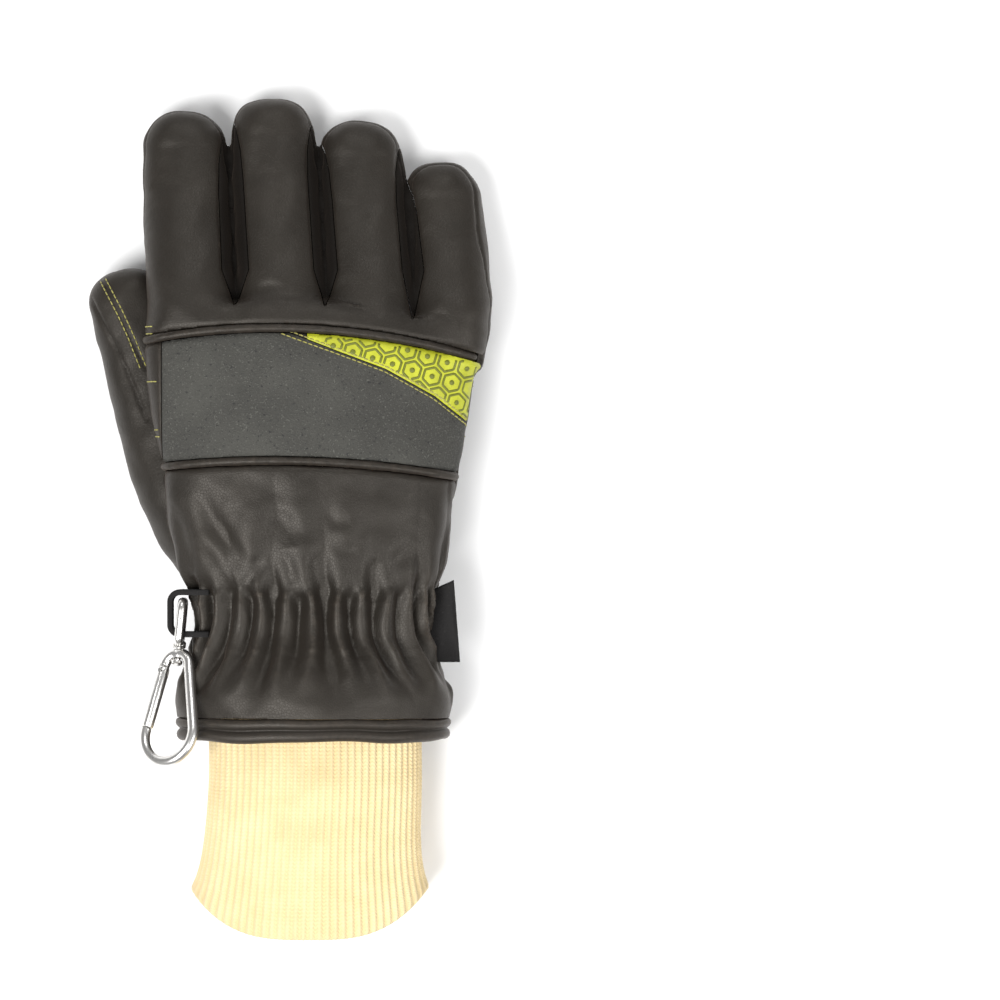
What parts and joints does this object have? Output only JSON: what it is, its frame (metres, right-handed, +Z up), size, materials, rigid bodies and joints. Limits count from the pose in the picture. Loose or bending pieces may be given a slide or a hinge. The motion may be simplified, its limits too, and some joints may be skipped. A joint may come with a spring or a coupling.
{
  "type": "firefighter glove",
  "caption": "Right-hand leather firefighting glove with a knuckle band between welts, a gathered gauntlet, a ribbed knit wrist and a swivel snap hook on a side strap.",
  "frame": {"origin": "on the surface that the glove lies on, under the middle of its box", "axes": "+Y towards the fingertips, +X towards the little finger, +Z up out of the back of the hand"},
  "size_m": [0.1616, 0.3376, 0.0606],
  "materials": {
    "leather": "black leather with a grain and a low brown sheen",
    "band": "dark grey speckled, rough textured",
    "wedge": "yellow-green, embossed",
    "knit": "cream ribbed knit",
    "suede": "black suede",
    "webbing": "black woven webbing",
    "steel": "polished nickel-plated steel",
    "thread": "olive-yellow sewing thread"
  },
  "bodies": {
    "glove": {"back_index": "leather", "front_index": "leather", "back_middle": "leather", "front_middle": "leather", "back_ring": "leather", "front_ring": "leather", "back_little": "leather", "front_little": "leather", "strip_index_middle": "leather", "strip_middle_ring": "leather", "strip_ring_little": "leather", "thumb": "leather", "knuckle_band": "band", "bright_wedge": "wedge", "upper_welt": "leather", "lower_welt": "leather", "palm_patch": "leather", "heel_thumb_side": "leather", "heel_little_side": "leather", "gauntlet_back": "leather", "hem": "leather", "knit_wrist": "knit", "wrist_guard": "suede", "hanging_strap": "webbing", "side_label": "webbing", "swivel_eye": "steel"},
    "hook": {"hook_frame": "steel", "gate_pin": "steel"},
    "gate": {"hook_gate": "steel"}
  },
  "joints": [
    {"name": "hook_swivel", "type": "hinge", "parent": "glove", "child": "hook", "pos_m": [-0.04333, -0.05198, 0.038], "axis": [-0.0912, -0.9467, 0.309], "range_deg": [0, 38]},
    {"name": "gate_hinge", "type": "hinge", "parent": "hook", "child": "gate", "pos_m": [-0.04937, -0.06131, 0.03771], "axis": [-0.5173, 0.3102, 0.7976], "range_deg": [0, 25], "stiffness_Nm_per_rad": 0.08, "springref_deg": -17.19}
  ]
}
